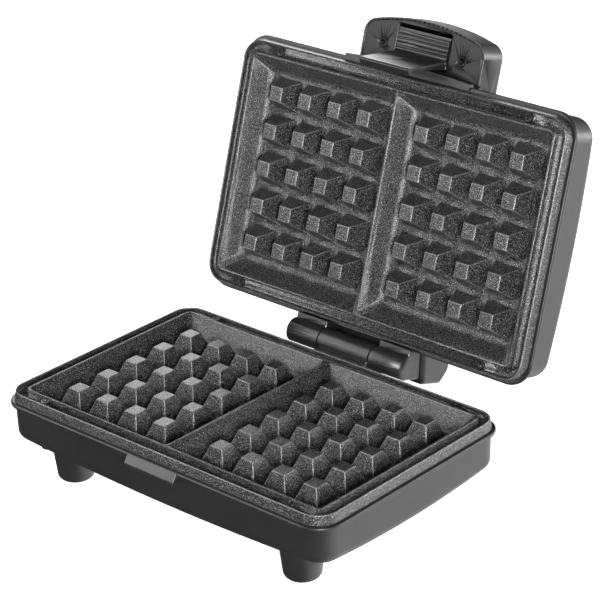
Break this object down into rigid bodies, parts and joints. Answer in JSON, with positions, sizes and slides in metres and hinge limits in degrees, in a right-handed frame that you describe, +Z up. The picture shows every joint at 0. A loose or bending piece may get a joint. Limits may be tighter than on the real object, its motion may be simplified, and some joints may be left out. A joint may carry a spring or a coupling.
{
  "type": "waffle maker",
  "caption": "Open waffle maker: domed housings with studded waffle plates, hinged at the back, with a front handle and a sprung latch.",
  "frame": {"origin": "centre of the open machine's footprint, on the table", "axes": "+Z up, front with the latch catch toward -Y, hinge axis along X"},
  "size_m": [0.237, 0.2533, 0.2294],
  "materials": {
    "black_housing": "glossy moulded",
    "handle_plastic": "satin moulded",
    "handle_cover_plastic": "fine matt grain",
    "coated_plate": "dark non-stick coating, semi-gloss",
    "steel": "plated",
    "element_steel": "plain",
    "sheet_steel": "bright sheet",
    "pad_rubber": "matt",
    "lead_insulation": "matt sleeve",
    "inner_plastic": "matt"
  },
  "bodies": {
    "base": {"base_housing": "black_housing", "lower_plate": "coated_plate", "lower_plate_screws": "steel", "lower_heater": "element_steel", "lower_heater_clamps": "element_steel", "lower_reflector": "sheet_steel", "lower_thermostat": "element_steel", "thermal_fuse": "element_steel", "latch_catch": "black_housing", "base_hinge_knuckle": "black_housing", "base_hinge_screws": "steel", "hinge_pin": "steel", "cord_gland": "inner_plastic", "terminal_block": "inner_plastic", "lower_wiring": "lead_insulation", "foot_pads": "pad_rubber", "foot_front_left": "black_housing", "foot_front_right": "black_housing", "foot_rear_left": "black_housing", "foot_rear_right": "black_housing"},
    "lid": {"lid_housing": "black_housing", "upper_plate": "coated_plate", "upper_plate_screws": "steel", "upper_heater": "element_steel", "upper_heater_clamps": "element_steel", "upper_thermostat": "element_steel", "upper_wiring": "lead_insulation", "lid_hinge_left": "black_housing", "lid_hinge_right": "black_housing", "lid_hinge_screws": "steel", "handle_body": "handle_plastic", "handle_cover": "handle_cover_plastic", "handle_screws": "steel", "latch_pin": "steel", "latch_spring": "steel"},
    "latch": {"latch": "handle_plastic"}
  },
  "joints": [
    {"name": "lid_hinge", "type": "hinge", "parent": "base", "child": "lid", "pos_m": [0, 0.0374, 0.0534], "axis": [1, 0, 0], "range_deg": [0, 107.2]},
    {"name": "latch_pivot", "type": "hinge", "parent": "lid", "child": "latch", "pos_m": [0, 0.11028, 0.20733], "axis": [-1, 0, 0], "range_deg": [0, 9], "stiffness_Nm_per_rad": 0.3, "springref_deg": -5.73, "deforming": ["latch_spring"]}
  ]
}
